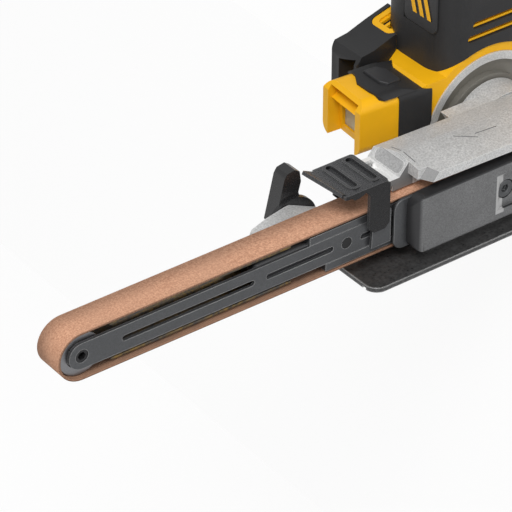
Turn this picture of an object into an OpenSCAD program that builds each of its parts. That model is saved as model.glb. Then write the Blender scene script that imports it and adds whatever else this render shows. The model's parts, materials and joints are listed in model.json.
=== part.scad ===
// Cordless belt file: a narrow abrasive belt on a slim arm, a tilting drive head,
// an upright motor tower with a lamp, and a rear handle that ends in a slide-on battery.
// The construction is laid out from the drive pulley's centre, in the middle of the belt,
// with the arm's tip towards -X, the motor body towards +Y and Z up. The finished part
// stands on its base with the origin under the middle of its bounding box.

/* [Belt] */
// Width of the abrasive belt
belt_w = 12.7; // [11:0.1:14]
// Thickness of the abrasive belt
belt_t = 0.9; // [0.6:0.1:1.2]
// Distance from the tip roller's axle to the drive pulley's axis
axis_dist = 200; // [175:1:240]
// Radius of the tip roller
roller_r = 8.4; // [8:0.1:8.8]
// Radius of the drive pulley
pulley_r = 8.9; // [8.4:0.1:9.4]

/* [Belt arm] */
// Height of the arm's narrow near plate
plate_h = 10.2; // [9:0.1:11]
// Thickness of the arm's sheet metal
plate_t = 1.2; // [1:0.1:1.5]
// Radius of the tip axle
axle_r = 2.5; // [2:0.1:3]
// Distance that the arm draws back when the lever is lifted
arm_travel = 6; // [4:0.5:8]
// Width of the long slots in the near plate
slot_w = 2.2; // [1.5:0.1:3]

/* [Drive head] */
// Length of the head's housing in front of the pulley
head_front = 70; // [66:1:76]
// Height of the roof's ridge above the pulley's axis
roof_z = 21.2; // [20:0.1:24]
// Depth of the head's floor below the pulley's axis
floor_z = 16; // [15:0.5:18]
// Thickness of the housing's cast walls
cast_t = 3; // [2.4:0.1:4]
// Height of the side cover
cover_h = 23; // [22:0.1:25]
// Lean of the roof to the belt, in degrees
head_lean = 1.6; // [0:0.1:2]
// Thickness of the side cover over its plate
cover_d = 5.5; // [5:0.1:7]
// Radius of the pivot hub in the gear case
hub_r = 15.9; // [15:0.1:17]
// Overhang of the deflector plate in front of the housing
deflector_front = 16; // [8:1:22]
// Thickness of the deflector's sheet
sheet_t = 1.2; // [1:0.1:1.6]
// Height of the deflector's folded edge
lip_h = 2; // [1.6:0.1:3]

/* [Lever and knob] */
// Width of the tension lever across the belt
lever_w = 20.8; // [20:0.1:22]
// Length of the tension lever's flat top
lever_len = 19; // [16:0.5:22]
// Length of the flap turned up at the lever's front
flap_len = 4.6; // [3:0.2:6]
// Thickness of the lever's sheet
lever_t = 1.4; // [1:0.1:1.6]
// Length of the tracking knob's wing from its axis
wing_len = 20.7; // [18:0.1:24]
// Radius of the tracking knob's hub
knob_r = 10; // [8.5:0.1:10.5]

/* [Motor body] */
// Radius of the gear case's ring
ring_r = 27.6; // [26:0.1:29]
// Radius of the motor's stator
stator_r = 16.6; // [15:0.1:16.8]
// Length of the motor's stator
stator_len = 36; // [30:1:40]
// Height of the motor tower above the pulley's axis
tower_top = 96; // [92:1:104]
// Width of the motor tower across the belt
tower_w = 43.4; // [43:0.1:46]
// Thickness of the moulded shells
shell_t = 2.2; // [2:0.1:2.6]
// Thickness of the rubber overmould
grip_t = 1.6; // [1.2:0.1:2]
// Height of the base under the pulley's axis
base_h = 30; // [29:0.5:34]

/* [Lamp] */
// Length of the lamp from its rim to the body
lamp_len = 27; // [24:0.5:30]
// Width of the lamp housing
lamp_w = 23.5; // [21:0.5:26]
// Height of the lamp housing
lamp_h = 22; // [20:0.5:24]

/* [Handle and battery] */
// Distance from the pulley's axis to the rear of the battery
rear_x = 203; // [200:1:220]
// Height of the handle's middle above the pulley's axis
handle_z = 62; // [58:1:66]
// Thickness of the handle
handle_d = 33; // [30:1:36]
// Width of the battery
battery_w = 75; // [70:1:80]
// Thickness of the battery from its rail face to its back
battery_d = 44; // [40:1:48]
// Height of the battery
battery_h = 100; // [92:1:108]
// Travel of the trigger
trigger_travel = 6; // [4:0.5:8]

/* [Hidden] */
$fn = 64;
fit = 0.05;            // running fit, each side
clear = 0.3;           // gap between pieces that move past each other
belt_gap = 0.15;       // gap under the belt on its rollers
eps = 0.01;

// belt loop
tip_in = roller_r + belt_gap;
rear_in = pulley_r + belt_gap;
tip_out = tip_in + belt_t;
function run_in(x) = tip_in + (rear_in - tip_in) * (x + axis_dist) / axis_dist;

// arm
arm_y = belt_w / 2 - 0.15;          // outer face of both arm plates
arm_in = arm_y - plate_t;           // inner face of both arm plates
plate_hh = plate_h / 2;
channel_hh = roller_r - 0.5;        // half height of the flanged channel
channel_setback = roller_r + 2.1;   // from the tip axle to the channel's flanges
guide_hh = roller_r - 0.2;          // half height of the arm's guide
guide_x0 = -head_front - 36;        // front of the guide
guide_x1 = -head_front + 38;        // rear of the guide
plate_end = -head_front - 5;        // rear end of the near plate
channel_end = guide_x0 - arm_travel - 1;
tang_x0 = channel_end - 14;
tang_x1 = guide_x1 - 22;
spring_r = 3.6;

// head
wall_y0 = belt_w / 2 + 0.65;        // inner face of the housing's far wall
wall_y1 = wall_y0 + cast_t + 3.5;   // outer face of the far wall
inner_y0 = -(belt_w / 2 + 0.95);    // rear face of the inner plate
inner_y1 = inner_y0 - sheet_t;      // front face of the inner plate
cover_y = inner_y1 - cover_d;       // near face of the side cover
cover_hh = cover_h / 2;
inner_hh = cover_hh - 1.4;
rear_r = 19;                        // radius of the housing's rear end
roof_under = rear_in + belt_t + 1.6;
boss_x = -24;                       // cover screw
deflector_y0 = cover_y - 3;
deflector_y1 = wall_y1 + 1;
deflector_x0 = -head_front - deflector_front;
deflector_x1 = rear_r + 4;
deflector_holes = [[-50, 4], [0, 4]];
ring_y = wall_y1 + 13;              // front face of the gear case's ring
case_y = ring_y + 35.5;             // rear of the gear case
neck_r = hub_r + 1.4;

// lever
pin_x = -head_front - 6.5;
pin_z = guide_hh + 0.8;
pin_r = 1.45;
ear_y0 = -(belt_w / 2 + 0.55);
ear_y1 = ear_y0 - plate_t;
lever_y0 = ear_y1 - lever_t - 0.2;
lever_y1 = lever_y0 + lever_w;
far_ear_y1 = lever_y1 - lever_t - 0.2;
far_ear_y0 = far_ear_y1 - plate_t;
lever_z = roof_z + 0.6;             // top of the lever
lever_x1 = pin_x + 2;               // rear edge of the lever's top
lever_x0 = lever_x1 - lever_len;
step_z = roof_z - 5.6;              // top of the step behind the lever
step_y = -3.3;                      // near edge of the step and of the roof's thick part
eave_z = roof_z - 5.3;              // underside of the roof's near edge

// knob
knob_x = -head_front - 27;
bracket_y = wall_y1 + 0.9;
bracket_z = guide_hh + 0.3;

// motor body
body_y0 = ring_y + 0.5;
tower_y = ring_y + tower_w / 2 + 0.1;
motor_y = tower_y;
tower_hx = stator_r + shell_t + grip_t + 0.6;
drum_r = ring_r + 3.6;
gear_r = 12.6;
pinion_r = 5.8;
shaft_r = 4;
rotor_shaft_r = 3;
rotor_r = 10.3;
stator_z0 = 36;
case_bearing_z = 17;
top_bearing_z = tower_top - 15;
bearing_w = 6;

// lamp
chin_x = -(drum_r - 1.2);           // front of the body below the overmould
lamp_x0 = chin_x - lamp_len;
lamp_z1 = 25.4;
lamp_z0 = lamp_z1 - lamp_h;
lamp_y1 = body_y0 + lamp_w;
cap_x0 = chin_x - 10.2;             // where the lamp's rubber cap starts on the near side
visor_x0 = cap_x0 - 8.4;            // how far the cap reaches over the lamp's top

// handle and battery
handle_x0 = tower_hx;
battery_x0 = rear_x - battery_d;
chin_z = lamp_z1 - 0.8;             // top of the chin
foot_x1 = battery_x0 - 0.3;
foot_x0 = foot_x1 - 13;
foot_w = 58;
foot_top = tower_top - 12;
grip_x0 = handle_x0 + 34;
grip_x1 = foot_x0 - 20;
battery_z0 = -base_h + 2;
rail_y = 19;
rail_z0 = battery_z0 + 20;
cell_step = (battery_h - 9) / 5;    // from one battery cell to the next
cell_r = cell_step / 2 - 0.1;
trigger_x0 = grip_x0 + 4;
trigger_len = 34;
switch_z = handle_z - handle_d / 2 + 4 + trigger_travel + 0.2;
lock_r = 4.8;
lock_x = trigger_x0 + 8;
lock_z = handle_z + 6.2;

x_min = -axis_dist - tip_out;
y_min = deflector_y0;
y_max = motor_y + battery_w / 2;
stand = [-(x_min + rear_x) / 2, -(y_min + y_max) / 2, base_h];

// shared shapes
module seat() translate(stand) children();

// an XZ outline carried along Y
module along_y(y0, y1) translate([0, y1, 0]) rotate([90, 0, 0]) linear_extrude(y1 - y0) children();

// a YZ outline carried along X
module along_x(x0, x1) translate([x0, 0, 0]) rotate([90, 0, 90]) linear_extrude(x1 - x0) children();

// an XY outline carried along Z
module along_z(z0, z1) translate([0, 0, z0]) linear_extrude(z1 - z0) children();

// a round bar along Y
module rod_y(r, y0, y1, x = 0, z = 0)
    translate([x, y1, z]) rotate([90, 0, 0]) cylinder(r = r, h = y1 - y0);

// a round bar along X
module rod_x(r, x0, x1, y = 0, z = 0)
    translate([x0, y, z]) rotate([0, 90, 0]) cylinder(r = r, h = x1 - x0);

// a rectangle from corner a to corner b with rounded corners
module round_rect(a, b, r) {
    translate([a[0] + r, a[1]]) square([b[0] - a[0] - 2 * r, b[1] - a[1]]);
    translate([a[0], a[1] + r]) square([b[0] - a[0], b[1] - a[1] - 2 * r]);
    for (x = [a[0] + r, b[0] - r], y = [a[1] + r, b[1] - r]) translate([x, y]) circle(r);
}

// a slot between two points on one line along its first axis
module slot(x0, x1, y, w) round_rect([x0, y - w / 2], [x1, y + w / 2], w / 2 - eps);

// a block with its edges rounded along all three axes
module round_block(a, b, rx, ry, rz) {
    intersection() {
        along_x(a[0], b[0]) round_rect([a[1], a[2]], [b[1], b[2]], rx);
        along_y(a[1], b[1]) round_rect([a[0], a[2]], [b[0], b[2]], ry);
        along_z(a[2], b[2]) round_rect([a[0], a[1]], [b[0], b[1]], rz);
    }
}

// the form round the tip roller and the drive pulley; its straight runs lie a hair
// under the circles' tangents, so that they meet at an angle
module loop_block(r_tip, r_rear, half_w) {
    hair = 0.03;
    lean = asin((r_rear - r_tip) / axis_dist);
    across = [-sin(lean), cos(lean)];
    below = [across[0], -across[1]];
    tip = [-axis_dist, 0];
    rod_y(r_tip, -half_w, half_w, -axis_dist);
    rod_y(r_rear, -half_w, half_w);
    along_y(-half_w, half_w) polygon([tip + (r_tip - hair) * across, (r_rear - hair) * across,
        (r_rear - hair) * below, tip + (r_tip - hair) * below]);
}

// belt and arm
module abrasive_belt() color("peru") seat() difference() {
    loop_block(tip_out, rear_in + belt_t, belt_w / 2);
    loop_block(tip_in, rear_in, belt_w / 2 + 1);
}

module tip_roller() color("dimgray") seat() difference() {
    rod_y(roller_r, -arm_in + 0.3, arm_in - 0.3, -axis_dist);
    rod_y(axle_r + 2.5, -arm_in, arm_in, -axis_dist);
}

module tip_bearings() color("silver") seat()
    for (side = [-1, 1]) translate([0, side * (arm_in - 2.3), 0]) difference() {
        rod_y(axle_r + 2.48, -1.9, 1.9, -axis_dist);
        rod_y(axle_r + fit, -2, 2, -axis_dist);
    }

module tip_axle() color("black") seat() difference() {
    rod_y(axle_r, -arm_y + 0.2, arm_y, -axis_dist);
    translate([-axis_dist, -arm_y + 2.4, 0]) rotate([90, 0, 0]) cylinder(r = 1.6, h = 3, $fn = 6);
}

module plate_outline(x1, hh) {
    translate([-axis_dist, 0]) circle(plate_hh);
    translate([-axis_dist, -hh]) square([x1 + axis_dist, 2 * hh]);
}

// long slots, a small slot and the rivet holes of the near plate
slots = [[16, 70.5], [75.5, 104.3], [116.1, 121.4]];
rivets = [110.1, 131];

module arm_plate() color("slategray") seat() difference() {
    along_y(-arm_y, -arm_in) difference() {
        plate_outline(plate_end, plate_hh);
        for (s = slots) slot(-axis_dist + s[0], -axis_dist + s[1], 0, slot_w);
        translate([plate_end, plate_hh]) rotate(45) square(1.6, center = true);
    }
    rod_y(axle_r + 0.02, -arm_y - 1, arm_y, -axis_dist);
    rod_y(2.22, -arm_y - 1, arm_y, -axis_dist + rivets[0]);
}

module arm_channel() color("dimgray") seat() difference() {
    union() {
        along_y(arm_in, arm_y) {
            plate_outline(channel_end, plate_hh);
            channel_side();
        }
        for (side = [-1, 1]) along_y(-arm_in, arm_y) intersection() {
            channel_side();
            translate([-axis_dist, side > 0 ? channel_hh - plate_t : -channel_hh])
                square([axis_dist, plate_t]);
        }
    }
    rod_y(axle_r + 0.02, 0, arm_y + 1, -axis_dist);
    along_y(0, arm_y + 1) slot(-axis_dist + 18, tang_x0 - 6, 0, 5);
}

// the flanged length of the channel, with bevelled front corners
module channel_side() {
    x0 = -axis_dist + channel_setback;
    polygon([[x0, plate_hh], [x0 + 2, channel_hh], [channel_end, channel_hh],
             [channel_end, -channel_hh], [x0 + 2, -channel_hh], [x0, -plate_hh]]);
}

module arm_tang() color("gray") seat() difference() {
    union() {
        along_y(-arm_in, arm_in) translate([tang_x0, -plate_hh])
            square([tang_x1 - tang_x0, 2 * plate_hh]);
        rod_x(spring_r - 1.1, tang_x1, tang_x1 + 7);
    }
    for (r = rivets) rod_y(2.22, -arm_y, arm_y, -axis_dist + r);
}

module arm_rivets() color("dimgray") seat() {
    rod_y(2.2, -arm_y - 0.1, arm_in, -axis_dist + rivets[0]);
    rod_y(2.2, -arm_in, arm_in, -axis_dist + rivets[1]);
}

// a C-shaped track that the arm's tang slides in, with an ear each side for the lever
module arm_guide() color("dimgray") seat() {
    slide_hh = plate_hh + 0.15;
    nose = 7;
    difference() {
        union() {
            along_y(arm_in + 0.15, arm_y + 0.1) guide_side(guide_x0, nose);
            for (side = [-1, 1]) along_y(-arm_y, arm_y) intersection() {
                guide_side(guide_x0, nose);
                translate([guide_x0, side > 0 ? slide_hh : -guide_hh])
                    square([guide_x1 - guide_x0, guide_hh - slide_hh]);
            }
            along_y(-arm_y, arm_y) translate([guide_x1 - 4, -guide_hh]) square([4, 2 * guide_hh]);
            // near ear
            along_y(ear_y1, ear_y0) ear_outline(-slide_hh);
            along_y(ear_y1, -arm_y) translate([pin_x - 4, slide_hh]) square([8.5, guide_hh - slide_hh]);
            // far ear, on a foot that clears the bracket of the knob
            along_y(far_ear_y0, far_ear_y1) ear_outline(slide_hh);
            along_y(arm_y, far_ear_y1) translate([pin_x - 4, slide_hh]) square([8.5, guide_hh - slide_hh]);
        }
        rod_y(pin_r + fit, ear_y1 - 1, ear_y0 + 0.1, pin_x, pin_z);
        rod_y(pin_r + fit, far_ear_y0 - 0.1, far_ear_y1 + 1, pin_x, pin_z);
        for (x = guide_bolts) rod_y(1.7, arm_in, arm_y + 2, x);
    }
}

guide_bolts = [guide_x1 - 32, guide_x1 - 8];

module guide_side(x0, nose) polygon([
    [x0, guide_hh], [guide_x1, guide_hh], [guide_x1, -guide_hh], [x0 + nose, -guide_hh],
    [x0 + nose, -plate_hh], [x0, -plate_hh]]);

module ear_outline(z0) {
    translate([pin_x, pin_z]) circle(3.2);
    polygon([[pin_x - 3.2, pin_z], [pin_x - 4, z0], [pin_x + 4.5, z0], [pin_x + 4.5, pin_z - 1],
             [pin_x + 3.2, pin_z]]);
}

module tension_spring() color("silver") seat() difference() {
    rod_x(spring_r, tang_x1 + 0.2, guide_x1 - 4.2);
    rod_x(spring_r - 0.9, tang_x1, guide_x1);
}

// lever and knob
module tension_lever() color("darkslategray") seat() difference() {
    union() {
        // flat top, with its front edge turned up to a finger flap that widens to the far side
        along_z(lever_z - lever_t, lever_z) lever_top();
        translate([lever_x0 + 1.4, lever_y0, lever_z]) rotate([0, 27, 0]) translate([0, 0, -lever_t])
            linear_extrude(lever_t) polygon([[0.5, 1], [0.5, lever_w - 1.2], [-flap_len - 1, lever_w - 1.6],
                [-flap_len - 0.8, lever_w - 3.4], [-flap_len * 0.55, 5], [-1.9, 1.4]]);
        // raised rims of the two grip slots
        along_z(lever_z - eps, lever_z + 0.5) intersection() {
            lever_top();
            for (x = grip_slots) slot_y(x, 5.2);
        }
        // near edge, folded down into the leg
        along_y(lever_y0, lever_y0 + lever_t) leg_outline(-guide_hh + 10.6, 2.6);
        // far leg, shorter
        along_y(lever_y1 - lever_t, lever_y1) leg_outline(pin_z - 3.2, 1.6);
    }
    for (x = grip_slots) along_z(lever_z - lever_t - 1, lever_z + 1) slot_y(x, 3);
}

grip_slots = [lever_x0 + 6.6, lever_x1 - 3.8];

module slot_y(x, w) round_rect([x - w / 2, lever_y0 + 4.6 - w / 2], [x + w / 2, lever_y1 - 3.4 + w / 2], w / 2 - eps);

module lever_top() {
    round_rect([lever_x0, lever_y0], [lever_x1, lever_y1 - 0.6], 1.4);
    round_rect([pin_x - 6.3, lever_y0], [lever_x1, lever_y1], 1.4);
}

// the fold at an edge of the lever: a shallow skirt, then a leg down to z0
module leg_outline(z0, skirt) {
    leg_x0 = pin_x - 6.3;
    polygon([[lever_x0 + 1.4, lever_z - 0.1], [lever_x0 + 4, lever_z - skirt], [leg_x0 - 5, lever_z - skirt],
             [leg_x0 - 1.5, lever_z - lever_t], [leg_x0, lever_z - 3.5], [leg_x0, z0 + 2],
             [leg_x0 + 2, z0], [pin_x + 0.6, z0], [lever_x1 + 0.6, z0 + 2],
             [lever_x1 + 0.6, lever_z - 1.2], [lever_x1 - 1.4, lever_z - 0.1]]);
}

module lever_pins() color("silver") seat() {
    rod_y(pin_r, lever_y0 + lever_t, ear_y0 + 0.1, pin_x, pin_z);
    rod_y(pin_r, far_ear_y0 - 0.1, lever_y1 - lever_t, pin_x, pin_z);
}

module tracking_knob() color("black") seat() {
    y0 = bracket_y + 0.3;
    difference() {
        union() {
            rod_y(knob_r, y0, y0 + 2, knob_x);
            translate([knob_x, y0 + 2 - eps, 0]) rotate([-90, 0, 0]) cylinder(r1 = knob_r, r2 = 6, h = 3.4);
            along_y(y0 + 1.2, y0 + 7.4) wing_outline();
        }
        rod_y(2.5, y0 - 1, y0 + 6, knob_x);
    }
}

// the wing leans forward a little and narrows to a blunt top
module wing_outline() translate([knob_x, 0]) {
    polygon([[-5.6, -3], [-7.4, 1], [-3.2, wing_len - 2.4], [-2, wing_len - 0.6], [1.3, wing_len],
             [3.4, wing_len - 1.4], [4, wing_len - 5.6], [2.9, 11], [4.6, 5], [6.4, 1], [4.8, -3]]);
}

module tracking_screw() color("silver") seat() {
    rod_y(2.45, arm_y + 0.15, bracket_y + 6.2, knob_x);
}

// drive head
// the cast housing: roof, far wall, floor, rear wall, knob bracket and pivot hub
module belt_housing() color("gainsboro") seat() difference() {
    union() {
        roof();
        // step behind the lever, cut back under its near edge where the belt runs in
        difference() {
            along_y(step_y, wall_y1) polygon([[-head_front - 3, roof_under], [-head_front + 14, roof_under],
                [-head_front + 14, step_z], [-head_front - 1.2, step_z], [-head_front - 3, step_z - 1.8]]);
            translate([-head_front - 4, step_y - 1, roof_under - 1]) cube([17, 7, 2.6]);
        }
        // far wall
        along_y(wall_y0, wall_y1) intersection() {
            housing_side();
            translate([-head_front, -floor_z]) square([head_front + rear_r, floor_z + step_z]);
        }
        // floor
        along_z(-floor_z, -floor_z + cast_t)
            round_rect([-head_front + 12, inner_y1], [rear_r - 2, wall_y1], 3);
        // rear wall round the pulley
        along_y(inner_y0, wall_y1) difference() {
            intersection() {
                housing_side();
                translate([2, -floor_z]) square([rear_r, floor_z + step_z]);
            }
            circle(rear_in + belt_t + 2.4);
            translate([-20, -floor_z + cast_t - 1]) square([20, floor_z * 2]);
        }
        // boss of the cover screw
        rod_y(4.2, inner_y0, wall_y1, boss_x);
        // pads that carry the guide
        for (x = guide_bolts) rod_y(4.5, arm_y + 0.1, wall_y1, x);
        knob_bracket();
        // neck and pivot hub
        rod_y(floor_z, wall_y1 - eps, deflector_y1 + 0.4, 0);
        rod_y(neck_r, deflector_y1 + 0.3, ring_y - 1, 0);
        rod_y(hub_r, ring_y - 1 - eps, ring_y + 6.7, 0);
        rod_y(hub_r - 2, ring_y + 6.7 - eps, ring_y + 10, 0);
        // ribs from the neck to the roof
        along_y(wall_y1 - eps, ring_y - 5) intersection() {
            translate([-26, -3]) square([42, step_z + 3]);
            polygon([[-26, step_z], [-neck_r, 2], [neck_r, 2], [16, step_z]]);
        }
    }
    // pocket in the top of the step, and the slot that the lever's far leg swings into
    along_z(step_z - 1.1, step_z + 1) round_rect([-head_front - 0.4, step_y + 1.7], [-head_front + 4.4, 9.4], 1.6);
    translate([-head_front - 5, lever_y1 - lever_t - 0.4, pin_z + 1]) cube([9, lever_t + 0.8, step_z]);
    // cover screw's hole
    rod_y(2.05, inner_y0 - 1, inner_y0 + 11, boss_x);
    // shaft and its two bearings
    rod_y(shaft_r + 1.6, 0, ring_y + 20, 0);
    rod_y(9 + 0.02, wall_y1 + 1, wall_y1 + 8, 0);
    rod_y(9 + 0.02, ring_y + 3, ring_y + 12, 0);
    // screw of the tracking knob
    rod_y(2.45 + fit, wall_y0 - 1, bracket_y + 1, knob_x);
    for (x = guide_bolts) rod_y(1.6, arm_y - 1, arm_y + 6, x);
    for (h = deflector_holes) translate([h[0], h[1], -floor_z - 1]) cylinder(r = 1.95, h = cast_t + 0.4);
}

// roof: near eave over the side cover, ridge above the belt, far slope into the wall.
// It falls a little towards the rear, and its near front corner is cut off at a slant.
module roof() difference() {
    intersection() {
        translate([-head_front + 12, 0, 0]) rotate([0, head_lean, 0]) translate([head_front - 12, 0, 0])
            along_x(-head_front + 2, rear_r + 5) roof_section();
        union() {
            along_y(cover_y - 2, step_y) housing_side(9);
            along_y(step_y - eps, wall_y1 + 2) housing_side(5.2);
        }
    }
    // room for the belt under the leaning roof
    translate([-head_front, step_y - 1, roof_under - 5]) cube([head_front + 16, belt_w / 2 + 1.8 - step_y, 4.4]);
    intersection() {
        translate([-head_front + 12.8, cover_y + 5.3, roof_z - 1.7]) rotate([0, 55.9, 210.1])
            translate([-20, -20, 0]) cube([40, 40, 20]);
        translate([-head_front, cover_y - 5, eave_z - 2]) cube([30, 10.4, 20]);
    }
}

module roof_section() polygon([
    [cover_y + 1, eave_z], [cover_y + 1, roof_z - 1.9], [2.5, roof_z], [wall_y1 + 0.8, roof_z - 2.8],
    [wall_y1 + 0.8, roof_under - 1], [step_y, roof_under - 1], [step_y, eave_z]]);

// the side view of the housing, whose roof starts this far behind its front
module housing_side(roof_x = 9) {
    polygon([[-head_front, -floor_z], [-head_front, step_z - 2], [-head_front + roof_x - 0.3, step_z - 1.2],
             [-head_front + roof_x, step_z], [-head_front + 9.3, roof_z - 0.7], [-head_front + 9.4, roof_z + 1],
             [rear_r - 6, roof_z + 1], [rear_r, roof_z - 8], [rear_r, -floor_z]]);
}

// the finger that reaches forward on the far side and carries the tracking knob
module knob_bracket() {
    x0 = knob_x - 24;
    intersection() {
        along_y(arm_y + 1.1, bracket_y) polygon([
            [x0, bracket_z - 3], [x0 + 2, bracket_z], [knob_x - 2.3, bracket_z], [knob_x + 11, 2.4],
            [-head_front + 4, 2.4], [-head_front + 4, -9], [knob_x - 4, -9], [x0, 0]]);
        along_z(-20, 20) polygon([[x0, 0], [x0, arm_y + 3], [knob_x - 14, bracket_y - 2],
            [knob_x - 4, bracket_y], [-head_front + 4, bracket_y], [-head_front + 4, 0]]);
    }
}

module inner_plate() color("black") seat() difference() {
    along_y(inner_y1, inner_y0) {
        round_rect([-head_front - 0.8, -inner_hh], [rear_r - 1, inner_hh], 4);
    }
    rod_y(2.3, inner_y1 - 1, inner_y0 + 1, boss_x);
}

// the cover's front end and edges are rounded, and the near face has a recess round its screw
module side_cover() color("gray") seat() {
    x0 = -head_front + 4.6;
    x1 = rear_r + 3;
    difference() {
        intersection() {
            along_y(cover_y, inner_y1) round_rect([x0, -cover_hh], [x1, cover_hh], 5);
            along_z(-cover_hh, cover_hh) round_rect([x0, cover_y], [x1, inner_y1 + 10], 4.5);
            along_x(x0, x1) round_rect([cover_y, -cover_hh], [inner_y1 + 10, cover_hh], 0.9);
        }
        // hollow behind
        along_y(cover_y + 2.2, inner_y1 + 1) difference() {
            round_rect([x0 + 2.2, -cover_hh + 2.2], [x1 - 2.2, cover_hh - 2.2], 3.2);
            translate([boss_x, 0]) circle(5);
        }
        // recess and screw hole
        along_z(-7.3, 7.3) polygon([[boss_x - 4.4, cover_y - 1], [boss_x - 4.4, cover_y], [boss_x - 2.4, cover_y + 1.1],
            [boss_x + 15, cover_y + 1.1], [boss_x + 17, cover_y], [boss_x + 17, cover_y - 1]]);
        rod_y(2.3, cover_y - 1, inner_y1 + 1, boss_x);
        rod_y(3.7, cover_y - 1, cover_y + 3.6, boss_x);
    }
}

module cover_screw() color("black") seat() difference() {
    union() {
        rod_y(3.5, cover_y + 1.2, cover_y + 3.6, boss_x);
        rod_y(2, cover_y + 3.6 - eps, inner_y0 + 9, boss_x);
    }
    translate([boss_x, cover_y + 2.8, 0]) rotate([90, 0, 0]) cylinder(r = 1.7, h = 3, $fn = 6);
}

module deflector_plate() color("dimgray") seat() difference() {
    along_z(-floor_z - lip_h, -floor_z) round_rect([deflector_x0, deflector_y0], [deflector_x1, deflector_y1], 5);
    along_z(-floor_z - lip_h - 1, -floor_z - sheet_t)
        round_rect([deflector_x0 + sheet_t, deflector_y0 + sheet_t], [deflector_x1 - sheet_t, deflector_y1 - sheet_t], 3.8);
    // relief where the front lip meets the near corner
    translate([deflector_x0 - 1, deflector_y0 + 4.6, -floor_z - lip_h - 1]) cube([4, 1.8, lip_h - sheet_t + 1]);
    for (h = deflector_holes) translate([h[0], h[1], -floor_z - lip_h - 1]) cylinder(r = 2.1, h = lip_h + 2);
}

module deflector_screws() color("black") seat()
    for (h = deflector_holes) translate([h[0], h[1], 0]) {
        translate([0, 0, -floor_z - lip_h + 0.1]) cylinder(r = 3.5, h = lip_h - sheet_t - 0.1);
        translate([0, 0, -floor_z - sheet_t - eps]) cylinder(r = 1.9, h = sheet_t + cast_t - 0.8);
    }

module pivot_ring() color("gray") seat() difference() {
    rod_y(hub_r + 4, ring_y + 7, ring_y + 9.4);
    rod_y(hub_r - 1.95, ring_y + 6, ring_y + 11);
}

module head_bearings() color("silver") seat()
    for (y = [wall_y1 + 1.1, ring_y + 3.1]) difference() {
        rod_y(9, y, y + bearing_w);
        rod_y(shaft_r + fit, y - 1, y + bearing_w + 1);
    }

module drive_pulley() color("dimgray") seat() difference() {
    union() {
        rod_y(pulley_r, -belt_w / 2 + 0.3, belt_w / 2 - 0.3);
        rod_y(shaft_r + 1.2, -belt_w / 2 - 0.2, belt_w / 2 + 0.4);
    }
    rod_y(shaft_r, -belt_w, belt_w);
}

module drive_shaft() color("silver") seat() rod_y(shaft_r, -belt_w / 2 - 0.4, motor_y - pinion_r + 1);

// the bevel pair's cones share their apex where the shafts cross
module bevel_gear() color("darkgray") seat() difference() {
    union() {
        rod_y(gear_r, motor_y - pinion_r - 3.5, motor_y - pinion_r - 0.2);
        rod_y(shaft_r + 3, motor_y - pinion_r - 3.9, motor_y - pinion_r);
        translate([0, motor_y - pinion_r - 0.2, 0]) rotate([-90, 0, 0])
            cylinder(r1 = gear_r, r2 = gear_r * 0.62, h = pinion_r * 0.38);
    }
    rod_y(shaft_r, 0, motor_y);
}

module bevel_pinion() color("darkgray") seat() difference() {
    union() {
        translate([0, motor_y, gear_r * 0.62 + 0.5])
            cylinder(r1 = pinion_r * 0.62 - 0.3, r2 = pinion_r - 0.3, h = gear_r * 0.38);
    }
    translate([0, motor_y, 0]) cylinder(r = rotor_shaft_r, h = gear_r + 5);
}

// gear case and motor
module gear_case() color("silver") seat() difference() {
    union() {
        rod_y(ring_r, ring_y, case_y);
        translate([0, motor_y, case_bearing_z - 3]) cylinder(r = 10.6, h = ring_r - case_bearing_z + 3);
    }
    // gear space
    rod_y(ring_r - 5.5, ring_y + 6.5, case_y - 3);
    // hub's bore and the recess round it
    rod_y(hub_r + fit, ring_y - 1, ring_y + 8);
    difference() {
        rod_y(ring_r - 3.2, ring_y - 1, ring_y + 2.5);
        rod_y(hub_r + 3, ring_y - 2, ring_y + 3);
    }
    // lower motor bearing and shaft
    translate([0, motor_y, 0]) {
        cylinder(r = 8.02, h = case_bearing_z + bearing_w);
        cylinder(r = rotor_shaft_r + 0.5, h = ring_r + 5);
    }
}

module motor_shaft() color("silver") seat() translate([0, motor_y, gear_r * 0.62 + 0.5])
    cylinder(r = rotor_shaft_r, h = top_bearing_z + bearing_w - gear_r * 0.62 + 0.5);

module rotor_core() color("dimgray") seat() difference() {
    translate([0, motor_y, stator_z0 + 1]) cylinder(r = rotor_r, h = stator_len - 2);
    translate([0, motor_y, 0]) cylinder(r = rotor_shaft_r, h = tower_top);
}

module motor_fan() color("black") seat() translate([0, motor_y, ring_r + 1]) difference() {
    union() {
        cylinder(r = 5, h = 5.4);
        cylinder(r = stator_r - 1, h = 1);
        for (a = [0:30:330]) rotate(a) translate([4, -0.5, 0]) cube([stator_r - 5.4, 1, 5.4]);
    }
    translate([0, 0, -1]) cylinder(r = rotor_shaft_r, h = 8);
}

module motor_stator() color("orangered") seat() translate([0, motor_y, stator_z0]) difference() {
    cylinder(r = stator_r, h = stator_len);
    translate([0, 0, -1]) cylinder(r = rotor_r + 0.4, h = stator_len + 2);
    for (a = [0:60:300]) rotate(a) translate([stator_r - 2.8, 0, -1]) cylinder(r = 1.5, h = stator_len + 2);
}

module motor_bearings() color("silver") seat()
    for (z = [case_bearing_z, top_bearing_z]) translate([0, motor_y, z]) difference() {
        cylinder(r = 8, h = bearing_w - 0.1);
        translate([0, 0, -1]) cylinder(r = rotor_shaft_r + fit, h = bearing_w + 2);
    }

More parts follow.
